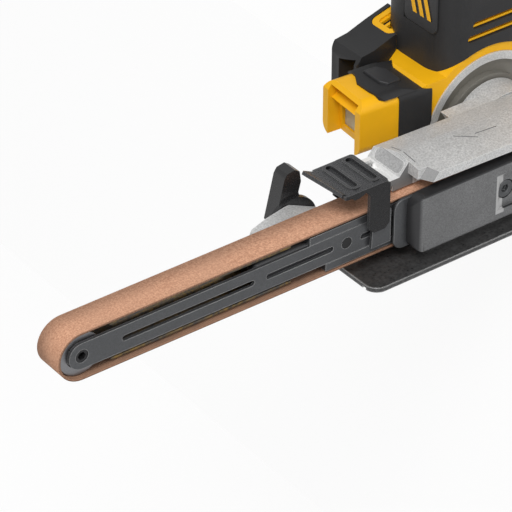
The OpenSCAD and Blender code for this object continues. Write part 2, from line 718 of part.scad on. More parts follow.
// body shells
// outer form of the moulded body, set in by a margin
module body_form(inset) {
    // drum round the gear case, flat at the base
    intersection() {
        along_y(body_y0 + inset, case_y + 4 - inset) circle(drum_r - inset);
        translate([-drum_r, 0, -base_h + inset]) cube([2 * drum_r, 200, 2 * drum_r]);
        along_x(-drum_r, drum_r) round_rect([body_y0 + inset - 10, -base_h - 9], [case_y + 4 - inset, drum_r + 10], 9);
    }
    chin_form(inset);
    tower_form(grip_t + inset, tower_top - grip_t - inset);
    handle_form(inset);
}

// the squared front of the body under the overmould, which carries the lamp
module chin_form(inset) {
    y1 = inlet_y0 - 0.3;
    intersection() {
        along_y(body_y0 + inset, y1 - inset) polygon([[chin_x + inset, -4], [chin_x + inset, chin_z - 2 - inset],
            [chin_x + 2 + inset, chin_z - inset], [0, chin_z - inset], [0, -4]]);
        along_z(-10, 60) corner_rect([chin_x + inset, body_y0 + inset], [14, y1 - inset], 3.5, 14 - inset);
    }
}

// the motor tower: rounded in plan, softened at the top
module tower_form(inset, top) intersection() {
    along_z(0, top) tower_plan(inset);
    along_y(0, 200) round_rect([-tower_hx + inset, -40], [tower_hx - inset, top], 11);
    along_x(-40, 60) round_rect([body_y0 - 0.5 + inset, -40], [body_y0 - 0.5 + tower_w - inset, top], 9);
}

// rounded in plan, most at the far front corner
module tower_plan(inset) corner_rect([-tower_hx + inset, body_y0 - 0.5 + inset],
    [tower_hx - inset, body_y0 - 0.5 + tower_w - inset], 12, 20 - inset);

// a rounded rectangle whose far front corner has a larger radius
module corner_rect(a, b, r, r_far) difference() {
    round_rect(a, b, r);
    difference() {
        translate([a[0] - 1, b[1] - r_far]) square([r_far + 1, r_far + 1]);
        translate([a[0] + r_far, b[1] - r_far]) circle(r_far);
    }
}

// a thin slice across the handle, with rounded corners
module slice(x, w, z0, z1, r) along_x(x, x + 0.1) round_rect([motor_y - w / 2, z0], [motor_y + w / 2, z1], r, $fn = 32);

module handle_form(inset) {
    w = 36 - 2 * inset;
    d = handle_d / 2 - inset;
    hull() {
        slice(handle_x0 - 14, tower_w - 6 - 2 * inset, handle_z - 24 + inset, tower_top - 8 - inset, 9);
        slice(grip_x0, w, handle_z - d, handle_z + d, 12 - inset);
    }
    along_x(grip_x0, grip_x1) round_rect([motor_y - w / 2, handle_z - d], [motor_y + w / 2, handle_z + d], 12 - inset);
    hull() {
        slice(grip_x1, w, handle_z - d, handle_z + d, 12 - inset);
        slice(foot_x0 + 2, foot_w - 8 - 2 * inset, handle_z - 30, foot_top - 2 - inset, 9);
    }
    round_block([foot_x0 + inset, motor_y - foot_w / 2 + inset, -base_h + inset],
                [foot_x1, motor_y + foot_w / 2 - inset, foot_top - inset], 8, 3, 3);
}

// what the shells leave free inside
module body_space() {
    rod_y(ring_r + 0.1, ring_y - 5, case_y + 0.1);
    translate([0, motor_y, ring_r - 4]) cylinder(r = stator_r + 0.15, h = top_bearing_z - 2 - ring_r + 4);
    translate([0, motor_y, top_bearing_z - 2.1]) cylinder(r = 8.02, h = bearing_w + 2.1);
    translate([0, motor_y, top_bearing_z]) cylinder(r = rotor_shaft_r + 0.5, h = bearing_w + 1.5);
    // handle, and the switch's bay behind the trigger
    w = 36 - 2 * shell_t;
    d = handle_d / 2 - shell_t;
    along_x(handle_x0 - 6, foot_x0 + 4) round_rect([motor_y - w / 2, handle_z - d], [motor_y + w / 2, handle_z + d], 9);
    round_block([foot_x0 + shell_t, motor_y - foot_w / 2 + shell_t + 2, -base_h + shell_t],
                [foot_x1 - shell_t, motor_y + foot_w / 2 - shell_t - 2, foot_top - shell_t], 6, 2, 2);
    // window for the terminal block
    translate([foot_x1 - 4, motor_y - 13, handle_z - 44]) cube([6, 26, 34]);
    // T-slots of the battery's rails, open at the top
    for (side = [-1, 1]) translate([0, motor_y + side * rail_y, rail_z0 - 0.3]) {
        translate([foot_x1 - shell_t - 0.4, -2.3, 0]) cube([shell_t + 2, 4.6, 150]);
        translate([foot_x1 - shell_t - 2.6, -4.4, 0]) cube([2.5, 8.8, 150]);
    }
    trigger_space();
    lock_space();
    vents(1.2);
}

module trigger_space() translate([trigger_x0 - 0.4, motor_y - 8.4, handle_z - handle_d / 2 - 2])
    cube([trigger_len + 0.8, 16.8, handle_d / 2]);

module lock_space() rod_y(lock_r + 0.2, motor_y - 30, motor_y + 30, lock_x, lock_z);

vent_z = [36.8, 42];
module vents(w) for (z = vent_z) along_y(body_y0 - 5, body_y0 + tower_w + 5)
    slot(-tower_hx + 11 + (z - 36.8) * 0.4 + (2.8 - w) / 2, tower_hx - 6 - (2.8 - w) / 2, z, w);

module body_shell() {
    difference() {
        body_form(0);
        body_space();
    }
    intersection() {
        body_form(1);
        union() {
            // bosses of the screws that pass through the hollow handle and foot
            for (s = [screw_spots[1], screw_spots[2]]) rod_y(4.6, 0, motor_y + 40, s[0], s[1]);
            // ribs that hold the switch, and the posts that carry the control board
            for (x = [trigger_x0 + 5, trigger_x0 + 25], side = [-1, 1])
                translate([x, motor_y + side * 12.3 - 4.2, switch_z - 1]) cube([2.4, 8.4, 8.2]);
            for (x = [grip_x0 + 41, grip_x0 + 61], side = [-1, 1])
                translate([x, motor_y + side * 12.5 - 4, handle_z - 9]) cube([2.4, 8, 4.9]);
        }
    }
}

screw_spots = [[handle_x0 + 6, handle_z + 18.2], [grip_x1 + 4, handle_z + 2], [foot_x0 + 6.4, -18]];

module shell_near() color("gold") seat() difference() {
    intersection() {
        body_shell();
        translate([-60, body_y0 - 20, -60]) cube([300, motor_y - body_y0 + 20, 200]);
    }
    for (s = screw_spots) rod_y(3.3, 0, screw_seat(s), s[0], s[1]);
    for (s = screw_spots) rod_y(1.7, 0, motor_y + 1, s[0], s[1]);
}

function screw_seat(s) = s[1] > 0 ? motor_y - 13 : motor_y - foot_w / 2 + 5;

module shell_far() color("gold") seat() difference() {
    intersection() {
        body_shell();
        translate([-60, motor_y, -60]) cube([300, 100, 200]);
    }
    for (s = screw_spots) rod_y(1.45, motor_y - 1, motor_y + 8, s[0], s[1]);
}

module housing_screws() color("dimgray") seat() for (s = screw_spots) {
    rod_y(3, screw_seat(s) - 2.2, screw_seat(s), s[0], s[1]);
    rod_y(1.4, screw_seat(s) - eps, motor_y + 6, s[0], s[1]);
}

// rubber skin over the tower, open below where the ring and the handle come out
module nose_overmould() color("darkslategray") seat() difference() {
    tower_form(0, tower_top);
    tower_form(grip_t, tower_top - grip_t);
    rod_y(drum_r + 0.02, 0, 200);
    translate([-60, 0, -60]) cube([120, 200, 60 + chin_z]);
    chin_form(-0.02);
    handle_form(-0.05);
    vents(2.8);
    translate([-tower_hx - 1, badge_y - badge_w / 2, badge_z - badge_h / 2]) cube([2, badge_w, badge_h]);
    inlet_form(0.05);
}

badge_w = 18;
badge_h = 20;
badge_y = body_y0 + 13.7;
badge_z = 50;
module badge_plate() color("black") seat() {
    x0 = -tower_hx + 0.02;
    along_x(x0, x0 + 0.96) round_rect([badge_y - badge_w / 2 + 0.1, badge_z - badge_h / 2 + 0.1],
        [badge_y + badge_w / 2 - 0.1, badge_z + badge_h / 2 - 0.1], 2.5);
    // three plain slanted bars
    for (i = [-1:1]) along_x(x0 - 0.3, x0 + eps) translate([badge_y + i * 4, badge_z])
        polygon([[-2.6, -5], [-0.6, -5], [2.6, 5], [0.6, 5]]);
}

// far-side inlet
inlet_y0 = body_y0 + 27;
inlet_y1 = body_y0 - 0.5 + tower_w;
inlet_x0 = chin_x - 8.5;
inlet_x1 = -tower_hx + 9;
module inlet_form(grow) along_y(inlet_y0 - grow, inlet_y1 + grow) polygon([
    [inlet_x0 - grow, 7 - grow], [inlet_x0 - grow, 22.6], [inlet_x0 + 2, 26.2 + grow],
    [inlet_x0 + 7.7, 27 + grow], [inlet_x0 + 16, 29.9 + grow], [inlet_x1, 33 + grow], [inlet_x1, 7 - grow]]);

module inlet_hood() color("black") seat() difference() {
    intersection() {
        inlet_form(0);
        along_z(0, 60) round_rect([inlet_x0, inlet_y0], [inlet_x1 + 8, inlet_y1], 1.5);
    }
    body_form(-0.05);
    tower_form(-0.05, tower_top);
    // mouth, open to the front and below
    along_x(inlet_x0 - 1, chin_x + 2) polygon([[inlet_y0 + 2, 6], [inlet_y0 + 2, 24.4],
        [inlet_y1 - 5.2, 21.6], [inlet_y1 - 5.2, 6]]);
    grille_place() translate([0, 0, -2]) linear_extrude(6) round_rect(grille_a, grille_b, 3.4);
}

// the grille lies in the hood's sloping top, round the foot of the tower
grille_a = [0, inlet_y0 + 1];
grille_b = [17, inlet_y1 - 1.8];
module grille_place() translate([inlet_x0 + 16.1, 0, 29.4]) rotate([0, -15, 0]) children();

module inlet_grille() color("gold") seat() difference() {
    grille_place() {
        translate([0, 0, -1.9]) linear_extrude(2.2) difference() {
            round_rect(grille_a + [0.1, 0.1], grille_b - [0.1, 0.1], 3.3);
            round_rect(grille_a + [2.5, 2.5], grille_b - [2.5, 2.5], 1.6);
        }
        for (y = [4.2, 7.4]) translate([1, inlet_y1 - y - 1.2, -1.7]) cube([15, 1.2, 1.2]);
    }
    tower_form(-0.1, tower_top);
    body_form(-0.1);
}

// lamp
// the lamp is turned a little towards the belt's tip
module lamp_turn() translate([chin_x, body_y0, 0]) rotate(-4) translate([-chin_x, -body_y0, 0]) children();

lamp_rim = 3.2;                     // depth of the side walls that stand proud of the lens
module lamp_outline(grow) round_rect([body_y0 - grow, lamp_z0 - grow], [lamp_y1 + grow, lamp_z1 + grow], 4.5);

module lamp_form() intersection() {
    along_x(lamp_x0, chin_x + 4) lamp_outline(0);
    along_y(0, 100) polygon([[lamp_x0, lamp_z0], [lamp_x0, lamp_z1 - 3.4], [lamp_x0 + 2.7, lamp_z1],
        [chin_x + 4, lamp_z1], [chin_x + 4, lamp_z0]]);
}

// a hood with an open front and underside, and a slanted panel over the lens
module lamp_housing() color("gold") seat() difference() {
    lamp_turn() difference() {
        intersection() {
            lamp_form();
            translate([lamp_x0 - 1, 0, -10]) cube([cap_x0 - lamp_x0 + 1, 100, 60]);
        }
        along_y(body_y0 + lamp_rim, lamp_y1 - lamp_rim) polygon([[lamp_x0 - 1, lamp_z0 - 1], [lamp_x0 - 1, lamp_z1 - 1.6],
            [lamp_x0 + 6, lamp_z1 - 1.6], [lamp_x0 + 6, lamp_z1 - 4.4], [lamp_x0 + 1.6, lamp_z1 - 7],
            [lamp_x0 + 4.6, lamp_z1 - 8], [lamp_x0 + 6, lamp_z0 - 1]]);
        // relief arch under the far wall and the lens seat
        translate([lamp_x0 - 1, body_y0 + 5, lamp_z0 + 3]) cube([10.8, lamp_w - 10, lamp_h - 11.2]);
    }
    visor();
}

module lamp_lens() color("lightgray") seat() lamp_turn()
    translate([lamp_x0 + 6.4, body_y0 + 5.1, lamp_z0 + 3.1]) cube([1.4, lamp_w - 10.2, lamp_h - 11.4]);

module lamp_board() color("green") seat() lamp_turn() {
    translate([lamp_x0 + 8.4, body_y0 + 5.1, lamp_z0 + 3.1]) cube([1.3, lamp_w - 10.2, lamp_h - 11.4]);
    translate([lamp_x0 + 8, body_y0 + lamp_w / 2 - 1.8, lamp_z0 + lamp_h / 2 - 4]) cube([0.5, 3.6, 3.6]);
}

// the part of the cap that lies over the lamp's top
module visor() along_z(lamp_z1 - 1.2, lamp_z1 + 1) polygon([
    [cap_x0 - 3.2, body_y0 - 2], [visor_x0 + 0.6, body_y0 + 3], [visor_x0, body_y0 + 7.6], [visor_x0, body_y0 + 14.4],
    [visor_x0 + 2.8, body_y0 + 19], [visor_x0 + 4, body_y0 + 26], [chin_x + 8, body_y0 + 26], [chin_x + 8, body_y0 - 2]]);

// the cap's side view: its top falls towards the body
module cap_side() along_y(0, 100) polygon([[visor_x0 - 2, lamp_z0 - 2], [visor_x0 - 2, lamp_z1 + 1],
    [cap_x0, lamp_z1 + 1], [chin_x + 0.5, lamp_z1 - 1.9], [chin_x + 4, lamp_z1 - 2.6], [chin_x + 4, lamp_z0 - 2]]);

// rubber shell between the lamp and the body, with the button's well on top
module lamp_cap() color("black") seat() difference() {
    union() {
        lamp_turn() intersection() {
            along_x(cap_x0 + 0.02, chin_x + 4) lamp_outline(0.4);
            cap_side();
        }
        intersection() {
            visor();
            lamp_turn() along_x(lamp_x0 + 3, chin_x + 4) lamp_outline(0.8);
            cap_side();
        }
    }
    body_form(-0.05);
    rod_y(ring_r + 0.1, 0, case_y);
    inlet_form(0.1);
    button_place() translate([0, 0, -1.9]) linear_extrude(6) hexagon(0.25);
}

button_y = body_y0 + 13;
button_tilt = 10;
module button_place() translate([chin_x - 8.1, button_y, lamp_z1 + 0.2]) rotate([0, button_tilt, 0]) children();
module hexagon(grow) polygon([[-4.6 - grow, -3.6], [-2.6, -6.4 - grow], [4.2 + grow, -5], [4.6 + grow, 3.6],
    [1.8, 6.6 + grow], [-4.4 - grow, 5.6]]);

module lamp_button() color("dimgray") seat() button_place() translate([0, 0, -0.8]) linear_extrude(1.7) hexagon(0);

// handle
module trigger() color("black") seat() difference() {
    along_y(motor_y - 8, motor_y + 8) {
        z0 = handle_z - handle_d / 2;
        polygon([[trigger_x0, z0 + 4], [trigger_x0, z0 - 3], [trigger_x0 + 3, z0 - 7.5], [trigger_x0 + 14, z0 - 6.2],
                 [trigger_x0 + trigger_len - 6, z0 - 8.5], [trigger_x0 + trigger_len, z0 - 5],
                 [trigger_x0 + trigger_len, z0 + 4]]);
    }
    // hollow that takes the switch's plunger
    translate([trigger_x0 + 12, motor_y - 3.2, handle_z - handle_d / 2 - 1]) cube([8.4, 6.4, 6]);
}

module trigger_switch() color("black") seat() {
    z0 = handle_z - handle_d / 2;
    translate([trigger_x0 + 2, motor_y - 8, switch_z]) cube([28, 16, 7]);
    translate([trigger_x0 + 13, motor_y - 3, z0 + trigger_travel - 0.7]) cube([6.4, 6, 5]);
}

// a cross bolt that locks the trigger, pushed from side to side
module lock_button() color("black") seat() difference() {
    rod_y(lock_r, motor_y - 20.5, motor_y + 16.6, lock_x, lock_z);
    rod_y(lock_r - 1.2, motor_y - 21, motor_y - 19.7, lock_x, lock_z);
}

// rubber skin round the handle's grip, open round the trigger and the button
module grip_overmould() color("darkslategray") seat() difference() {
    w = 36 + 2 * grip_t;
    d = handle_d / 2 + grip_t;
    along_x(grip_x0 + 1, grip_x1 - 1) round_rect([motor_y - w / 2, handle_z - d], [motor_y + w / 2, handle_z + d], 13);
    handle_form(-0.02);
    trigger_space();
    lock_space();
    translate([trigger_x0 - 1, motor_y - 9, handle_z - 30]) cube([trigger_len + 2, 18, 20]);
}

module control_board() color("green") seat()
    translate([grip_x0 + 36, motor_y - 14, handle_z - 4]) cube([31, 28, 4]);

module terminal_block() color("black") seat() difference() {
    translate([foot_x1 - 6, motor_y - 12.9, handle_z - 43.9]) cube([5.9, 25.8, 33.8]);
    for (i = [-2:2]) translate([foot_x1 - 3, motor_y + i * 4.6 - 0.9, handle_z - 44]) cube([4, 1.8, 26]);
}

// battery
module battery_form(inset) {
    z1 = battery_z0 + battery_h;
    round_block([battery_x0 + inset, motor_y - battery_w / 2 + inset, battery_z0 + inset],
                [rear_x - inset, motor_y + battery_w / 2 - inset, z1 - inset], 9 - inset, 5 - inset, 6 - inset);
}
lid_x = battery_x0 + 14;

module battery_case() color("black") seat() difference() {
    intersection() {
        battery_form(0);
        translate([lid_x, 0, -100]) cube([100, 200, 300]);
    }
    difference() {
        battery_form(2.2);
        // wall that closes the case behind the latch's bay
        translate([lid_x, motor_y - 12, battery_z0 + battery_h - 12.2]) cube([7.2, 24, 12]);
    }
    translate([lid_x - 1, motor_y - 10, battery_z0 + battery_h - 10]) cube([6, 20, 12]);
}

module battery_lid() color("dimgray") seat() difference() {
    union() {
        intersection() {
            battery_form(0);
            translate([0, 0, -100]) cube([lid_x - 0.02, 200, 300]);
        }
        // T-shaped rails that slide into the foot
        for (side = [-1, 1]) translate([0, motor_y + side * rail_y, rail_z0]) {
            translate([foot_x1 - shell_t - 0.5, -2, 0]) cube([shell_t + 2, 4, 64]);
            translate([foot_x1 - shell_t - 2.3, -4.1, 0]) cube([2, 8.2, 64]);
        }
    }
    // hollow, open to the case
    intersection() {
        battery_form(2.2);
        translate([battery_x0 + 3, 0, -100]) cube([100, 200, 98 + battery_z0 + battery_h - 12.2]);
    }
    // latch bay at the top
    translate([battery_x0 - 1, motor_y - 10, battery_z0 + battery_h - 10]) cube([30, 20, 12]);
}

module battery_cells() color("teal") seat() for (i = [0:4])
    translate([rear_x - 4.3 - cell_r, motor_y - battery_w / 2 + 5, battery_z0 + battery_h / 2 + (i - 2) * cell_step])
        rotate([-90, 0, 0]) cylinder(r = cell_r, h = battery_w - 10);

module battery_latch() color("gold") seat()
    translate([battery_x0 + 1, motor_y - 9.7, battery_z0 + battery_h - 6.6]) cube([17.4, 19.4, 5.4]);

abrasive_belt();
tip_roller();
tip_bearings();
tip_axle();
arm_plate();
arm_channel();
arm_tang();
arm_rivets();
arm_guide();
tension_spring();
tension_lever();
lever_pins();
belt_housing();
inner_plate();
side_cover();
cover_screw();
deflector_plate();
deflector_screws();
tracking_knob();
tracking_screw();
pivot_ring();
head_bearings();
drive_pulley();
drive_shaft();
bevel_gear();
gear_case();
bevel_pinion();
motor_shaft();
rotor_core();
motor_fan();
motor_stator();
motor_bearings();
shell_near();
shell_far();
nose_overmould();
badge_plate();
inlet_hood();
inlet_grille();
lamp_housing();
lamp_cap();
lamp_lens();
lamp_board();
lamp_button();
trigger();
trigger_switch();
lock_button();
grip_overmould();
control_board();
terminal_block();
housing_screws();
battery_case();
battery_lid();
battery_cells();
battery_latch();
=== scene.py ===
import json
import math
import bmesh
import bpy
from mathutils import Matrix, Vector
from mathutils.bvhtree import BVHTree


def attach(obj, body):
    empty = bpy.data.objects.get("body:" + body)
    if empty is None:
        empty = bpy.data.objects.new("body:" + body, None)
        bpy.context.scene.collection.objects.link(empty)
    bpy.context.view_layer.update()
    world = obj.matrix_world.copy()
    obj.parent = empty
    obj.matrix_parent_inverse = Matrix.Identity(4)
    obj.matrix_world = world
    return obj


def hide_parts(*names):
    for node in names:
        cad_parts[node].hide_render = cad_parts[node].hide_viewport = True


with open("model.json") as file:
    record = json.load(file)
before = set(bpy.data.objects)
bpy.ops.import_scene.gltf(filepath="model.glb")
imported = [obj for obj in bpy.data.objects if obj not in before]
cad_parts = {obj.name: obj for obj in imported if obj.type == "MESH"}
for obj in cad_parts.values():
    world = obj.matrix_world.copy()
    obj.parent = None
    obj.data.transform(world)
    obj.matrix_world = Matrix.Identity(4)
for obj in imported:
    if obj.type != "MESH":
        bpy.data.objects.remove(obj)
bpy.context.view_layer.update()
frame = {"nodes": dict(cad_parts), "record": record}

bodyOf = {n: b for b, members in frame["record"]["behaviour"]["bodies"].items() for n in members}
slotOf = {s["node"]: s["material_slot"] for s in frame["record"]["subparts"]}
scene = bpy.context.scene

# the part's frame is the construction frame moved by this much, in metres
stand = Vector((0.003225, -0.0344, 0.030))


# a point given in construction millimetres
def mm(x, y, z):
    return Vector((x, y, z)) / 1000 + stand


# ---- materials
def startMaterial(name, color, roughness, metallic=0.0):
    mat = bpy.data.materials.new(name)
    mat.use_nodes = True
    tree = mat.node_tree
    shader = tree.nodes["Principled BSDF"]
    shader.inputs["Base Color"].default_value = (*color, 1)
    shader.inputs["Roughness"].default_value = roughness
    shader.inputs["Metallic"].default_value = metallic
    return mat, tree, shader


def addNode(tree, kind, inputs=(), **settings):
    made = tree.nodes.new(kind)
    for key, value in settings.items():
        setattr(made, key, value)
    for key, value in dict(inputs).items():
        made.inputs[key].default_value = value
    return made


def objectNoise(tree, scale, detail=3.0, rough=0.55):
    where = addNode(tree, "ShaderNodeTexCoord")
    noise = addNode(tree, "ShaderNodeTexNoise", {"Scale": scale, "Detail": detail, "Roughness": rough})
    tree.links.new(where.outputs["Object"], noise.inputs["Vector"])
    return noise


def remap(tree, value, low, high, outLow, outHigh):
    step = addNode(tree, "ShaderNodeMapRange", {1: low, 2: high, 3: outLow, 4: outHigh})
    tree.links.new(value, step.inputs[0])
    return step.outputs[0]


def mixColors(tree, amount, first, second):
    mixed = addNode(tree, "ShaderNodeMix", data_type="RGBA")
    for socket, value in ((0, amount), (6, first), (7, second)):
        if isinstance(value, bpy.types.NodeSocket):
            tree.links.new(value, mixed.inputs[socket])
        else:
            mixed.inputs[socket].default_value = value if socket == 0 else (*value, 1)
    return mixed.outputs[2]


def addBump(tree, shader, height, distance, strength=1.0):
    bump = addNode(tree, "ShaderNodeBump", {"Strength": strength, "Distance": distance})
    tree.links.new(height, bump.inputs["Height"])
    if shader.inputs["Normal"].links:
        tree.links.new(shader.inputs["Normal"].links[0].from_socket, bump.inputs["Normal"])
    tree.links.new(bump.outputs[0], shader.inputs["Normal"])


# how much of a corner lies within a radius, for edge wear and painted highlight that follow the edges
def edgeMask(tree, radius, low=0.03, high=0.25):
    rounded = addNode(tree, "ShaderNodeBevel", {"Radius": radius}, samples=4)
    flat = addNode(tree, "ShaderNodeNewGeometry")
    dot = addNode(tree, "ShaderNodeVectorMath", operation="DOT_PRODUCT")
    tree.links.new(rounded.outputs[0], dot.inputs[0])
    tree.links.new(flat.outputs["Normal"], dot.inputs[1])
    return remap(tree, dot.outputs["Value"], 1 - low, 1 - high, 0.0, 1.0)


# 1 inside a box given in construction millimetres, 0 outside, with a soft border
def insideBox(tree, low, high, soft=0.3):
    where = addNode(tree, "ShaderNodeTexCoord")
    parts = addNode(tree, "ShaderNodeSeparateXYZ")
    tree.links.new(where.outputs["Object"], parts.inputs[0])
    a, b = mm(*low), mm(*high)
    result = None
    for k in range(3):
        for edge, sign in ((a[k], 1), (b[k], -1)):
            step = remap(tree, parts.outputs[k], edge - sign * soft / 1000, edge, 0.0, 1.0)
            if result is None:
                result = step
            else:
                both = addNode(tree, "ShaderNodeMath", operation="MULTIPLY")
                tree.links.new(result, both.inputs[0])
                tree.links.new(step, both.inputs[1])
                result = both.outputs[0]
    return result


# 1 on faces that look along a direction of the piece's own space
def facing(tree, direction, low, high):
    where = addNode(tree, "ShaderNodeTexCoord")
    along = addNode(tree, "ShaderNodeVectorMath", {1: direction}, operation="DOT_PRODUCT")
    tree.links.new(where.outputs["Normal"], along.inputs[0])
    return remap(tree, along.outputs["Value"], low, high, 0.0, 1.0)


# distance in metres from an axis along Y
def fromAxis(tree, x, z):
    where = addNode(tree, "ShaderNodeTexCoord")
    centre = mm(x, 0, z)
    shifted = addNode(tree, "ShaderNodeVectorMath", {1: (centre.x, 0, centre.z)}, operation="SUBTRACT")
    flat = addNode(tree, "ShaderNodeVectorMath", {1: (1, 0, 1)}, operation="MULTIPLY")
    size = addNode(tree, "ShaderNodeVectorMath", operation="LENGTH")
    tree.links.new(where.outputs["Object"], shifted.inputs[0])
    tree.links.new(shifted.outputs[0], flat.inputs[0])
    tree.links.new(flat.outputs[0], size.inputs[0])
    return size.outputs["Value"]


def mouldedPlastic(name, color, roughness, grain=3200, depth=0.00003, vary=0.12, gloss=0.35):
    mat, tree, shader = startMaterial(name, color, roughness)
    shader.inputs["Specular IOR Level"].default_value = gloss
    fine = objectNoise(tree, grain, 2.0)
    broad = objectNoise(tree, 55, 3.0)
    dark = tuple(c * (1 - vary) for c in color)
    light = tuple(min(1, c * (1 + vary)) for c in color)
    tree.links.new(mixColors(tree, remap(tree, broad.outputs[0], 0.35, 0.65, 0, 1), dark, light),
                   shader.inputs["Base Color"])
    tree.links.new(remap(tree, fine.outputs[0], 0.3, 0.7, roughness - 0.06, roughness + 0.08),
                   shader.inputs["Roughness"])
    addBump(tree, shader, fine.outputs[0], depth)
    return mat


def metal(name, color, roughness, metallic, grain=2600, depth=0.00002, vary=0.1, wearAndHighlight=None, wearAndHighlightRadius=0.0003,
          paintedLight=(), wearAndHighlightFrom=0.25):
    mat, tree, shader = startMaterial(name, color, roughness, metallic)
    fine = objectNoise(tree, grain, 3.0, 0.7)
    broad = objectNoise(tree, 90, 4.0)
    speck = mixColors(tree, remap(tree, fine.outputs[0], 0.38, 0.62, 0, 1),
                      tuple(c * (1 - vary) for c in color), tuple(min(1, c * (1 + vary)) for c in color))
    tone = mixColors(tree, remap(tree, broad.outputs[0], 0.3, 0.7, 0, 0.35), speck,
                     tuple(c * (1 - 1.6 * vary) for c in color))
    # edges made lighter, partly wear and partly painted highlight
    if wearAndHighlight:
        edge = edgeMask(tree, wearAndHighlightRadius)
        patch = remap(tree, broad.outputs[0], 0.4, 0.6, wearAndHighlightFrom, 1.0)
        amount = addNode(tree, "ShaderNodeMath", operation="MULTIPLY")
        tree.links.new(edge, amount.inputs[0])
        tree.links.new(patch, amount.inputs[1])
        tone = mixColors(tree, amount.outputs[0], tone, wearAndHighlight)
    # painted light and shade in given places: painted shade on faces, corners and recesses, painted highlight on lit
    # faces
    for mask, localTone in paintedLight:
        tone = mixColors(tree, mask(tree), tone, localTone)
    tree.links.new(tone, shader.inputs["Base Color"])
    tree.links.new(remap(tree, fine.outputs[0], 0.3, 0.7, roughness - 0.08, roughness + 0.1),
                   shader.inputs["Roughness"])
    addBump(tree, shader, fine.outputs[0], depth)
    return mat


def gritCloth():
    mat, tree, shader = startMaterial("gritCloth", (0.43, 0.21, 0.12), 0.85)
    grains = addNode(tree, "ShaderNodeTexVoronoi", {"Scale": 2300.0})
    where = addNode(tree, "ShaderNodeTexCoord")
    tree.links.new(where.outputs["Object"], grains.inputs["Vector"])
    fine = objectNoise(tree, 1500, 4.0, 0.7)
    broad = objectNoise(tree, 70, 4.0, 0.6)
    speck = mixColors(tree, remap(tree, fine.outputs[0], 0.34, 0.66, 0, 1), (0.38, 0.175, 0.10),
                      (0.72, 0.41, 0.265))
    tone = mixColors(tree, remap(tree, broad.outputs[0], 0.35, 0.65, 0, 0.4), speck,
                     (0.48, 0.27, 0.175))
    glint = mixColors(tree, remap(tree, grains.outputs["Distance"], 0.0, 0.22, 0.5, 0.0), tone,
                      (0.72, 0.48, 0.34))
    tree.links.new(glint, shader.inputs["Base Color"])
    shader.inputs["Specular IOR Level"].default_value = 0.3
    addBump(tree, shader, fine.outputs[0], 0.00006)
    addBump(tree, shader, grains.outputs["Distance"], 0.00006)
    return mat


def clearLens():
    mat, tree, shader = startMaterial("clearLens", (0.9, 0.86, 0.72), 0.08)
    shader.inputs["Transmission Weight"].default_value = 0.6
    shader.inputs["IOR"].default_value = 1.49
    shader.inputs["Alpha"].default_value = 0.9
    ribs = objectNoise(tree, 160, 1.0)
    addBump(tree, shader, ribs.outputs[0], 0.0001)
    return mat


# where light and shade are painted: painted shade on the collar's inner face, the casting's cut corner,
# the near side of its front step, the lever's near leg and the cover's edges; painted highlight on the top of the
# front step and on the cover's recess
# painted shade on the collar's inner face, inside a radius round the axis
def ringShade(tree):
    away = fromAxis(tree, 0, 0)
    return remap(tree, away, 0.0246, 0.0238, 0.0, 1.0)


# painted shade on the casting's cut corner facet
def paintedFacetShade(tree):
    return remap(tree, facing(tree, (-0.716, -0.415, 0.561), 0.93, 0.985), 0, 1, 0, 0.82)


# painted highlight on the top of the casting's front step
def paintedStepHighlight(tree):
    return insideBox(tree, (-74, -4, 14.6), (-65.1, 14.5, 16.3))


# painted shade on the near side of the casting's front step
def paintedStepShade(tree):
    side = facing(tree, (0, -1, 0), 0.85, 0.97)
    front = insideBox(tree, (-75, -6, 8), (-59, 2, 21))
    both = addNode(tree, "ShaderNodeMath", operation="MULTIPLY")
    tree.links.new(side, both.inputs[0])
    tree.links.new(front, both.inputs[1])
    return both.outputs[0]


# painted shade on the lever's faces that look to the near side, its near leg
def paintedLegShade(tree):
    return facing(tree, (0, -1, 0), 0.5, 0.9)


# painted shade on every face of the cover except its near face
def paintedCoverShade(tree):
    return facing(tree, (0, -1, 0), 0.96, 0.82)


# painted highlight on the lit wall of the cover's recess
def paintedRecessHighlight(tree):
    return insideBox(tree, (-28.9, -40, -8.4), (-25.4, -5, 7.4))


# dark steel for the arm channel; its ochre flecks are a painted reflection of the belt's backing cloth
def paintedReflectionSteel():
    mat, tree, shader = startMaterial("channelSteelPaintedReflection", (0.1, 0.08, 0.04), 0.34, 0.85)
    cloud = objectNoise(tree, 620, 5.0, 0.7)
    broad = objectNoise(tree, 75, 3.0)
    paintedReflectionFleck = mixColors(tree, remap(tree, cloud.outputs[0], 0.38, 0.62, 0, 1), (0.07, 0.066, 0.06),
                      (0.36, 0.23, 0.07))
    tree.links.new(mixColors(tree, remap(tree, broad.outputs[0], 0.4, 0.62, 0.1, 0.8), paintedReflectionFleck,
                             (0.1, 0.1, 0.1)),
                   shader.inputs["Base Color"])
    addBump(tree, shader, cloud.outputs[0], 0.00002)
    return mat


